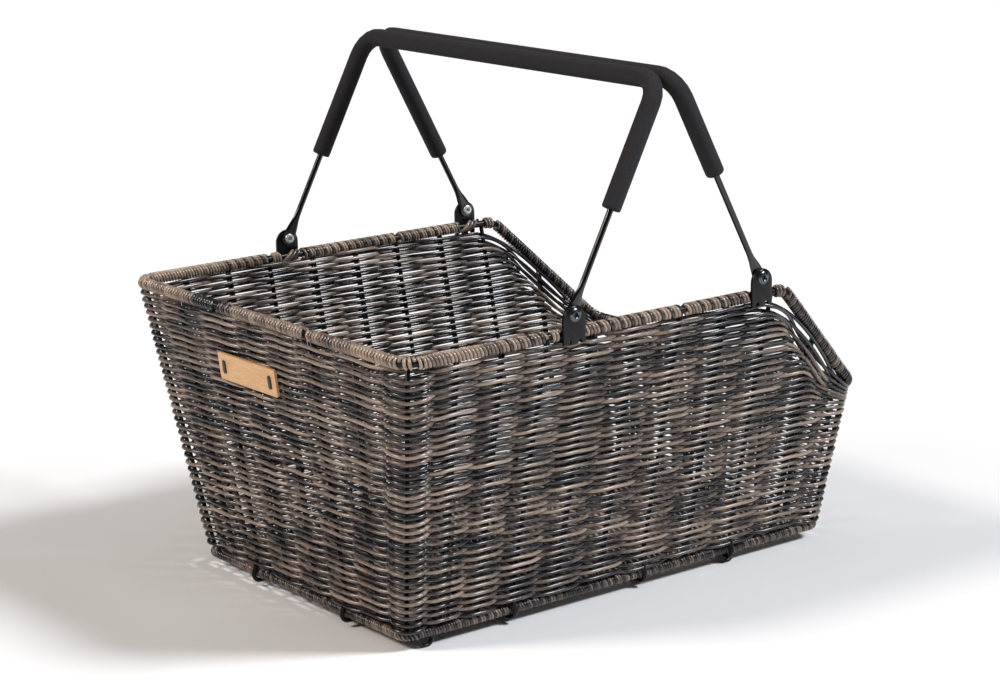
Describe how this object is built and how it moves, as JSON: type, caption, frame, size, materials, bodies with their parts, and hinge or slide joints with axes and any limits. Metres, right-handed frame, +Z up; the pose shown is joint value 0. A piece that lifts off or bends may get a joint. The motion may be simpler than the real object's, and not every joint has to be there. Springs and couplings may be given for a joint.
{
  "type": "woven bicycle basket",
  "caption": "Rectangular tapered bicycle basket woven from synthetic rattan on a steel rod frame, with a low front, bound rim and hinged foam-grip carrying handles.",
  "frame": {"origin": "on the ground under the middle of the basket's box", "axes": "+X along the basket towards the low front, +Y towards the far side of the picture, +Z up"},
  "size_m": [0.4698, 0.389, 0.4176],
  "materials": {
    "black_steel": "gloss black powder coat on steel rod and sheet",
    "woven_strand": "round extruded polyethylene strand, mottled taupe and charcoal, satin",
    "wound_strand": "the same strand wound close on the rods",
    "foam": "matt closed-cell rubber foam tube",
    "rivet_steel": "bright zinc plate",
    "bamboo": "pale bamboo sheet, light varnish",
    "black_plastic": "moulded black plastic"
  },
  "bodies": {
    "basket": {"rim_frame": "black_steel", "base_frame": "black_steel", "cross_wire_rear": "black_steel", "cross_wire_middle": "black_steel", "cross_wire_front": "black_steel", "long_wire_near": "black_steel", "long_wire_far": "black_steel", "corner_post_rear_near": "black_steel", "corner_post_rear_far": "black_steel", "corner_post_front_near": "black_steel", "corner_post_front_far": "black_steel", "mounting_eye_rear_near": "black_steel", "mounting_eye_rear_far": "black_steel", "mounting_eye_front_near": "black_steel", "mounting_eye_front_far": "black_steel", "wall_near": "woven_strand", "wall_far": "woven_strand", "wall_rear": "woven_strand", "wall_front": "woven_strand", "wall_corner_rear_near": "woven_strand", "wall_corner_rear_far": "woven_strand", "wall_corner_front_near": "woven_strand", "wall_corner_front_far": "woven_strand", "floor_weave": "woven_strand", "rim_binding_rear": "wound_strand", "rim_binding_front": "wound_strand", "rim_binding_corner_rear_near": "wound_strand", "rim_binding_corner_front_near": "wound_strand", "rim_binding_side_rear_near": "wound_strand", "rim_binding_side_middle_near": "wound_strand", "rim_binding_slope_near": "wound_strand", "rim_binding_corner_rear_far": "wound_strand", "rim_binding_corner_front_far": "wound_strand", "rim_binding_side_rear_far": "wound_strand", "rim_binding_side_middle_far": "wound_strand", "rim_binding_slope_far": "wound_strand", "base_binding_near": "wound_strand", "base_binding_front": "wound_strand", "base_binding_far": "wound_strand", "base_binding_rear": "wound_strand", "handle_bracket_rear_near": "black_steel", "handle_bracket_rear_far": "black_steel", "handle_bracket_front_near": "black_steel", "handle_bracket_front_far": "black_steel", "pivot_rivet_rear_near": "rivet_steel", "pivot_rivet_rear_far": "rivet_steel", "pivot_rivet_front_near": "rivet_steel", "pivot_rivet_front_far": "rivet_steel", "badge_plate": "bamboo", "badge_clip_far": "black_plastic", "badge_clip_near": "black_plastic"},
    "rear_handle": {"handle_rod_rear": "black_steel", "handle_grip_rear": "foam"},
    "front_handle": {"handle_rod_front": "black_steel", "handle_grip_front": "foam"}
  },
  "joints": [
    {"name": "rear_handle_fold", "type": "hinge", "parent": "basket", "child": "rear_handle", "pos_m": [-0.0825, 0, 0.2475], "axis": [0, 1, 0], "range_deg": [-117.5, 0]},
    {"name": "front_handle_fold", "type": "hinge", "parent": "basket", "child": "front_handle", "pos_m": [0.1045, 0, 0.2475], "axis": [0, 1, 0], "range_deg": [0, 129.5]}
  ]
}
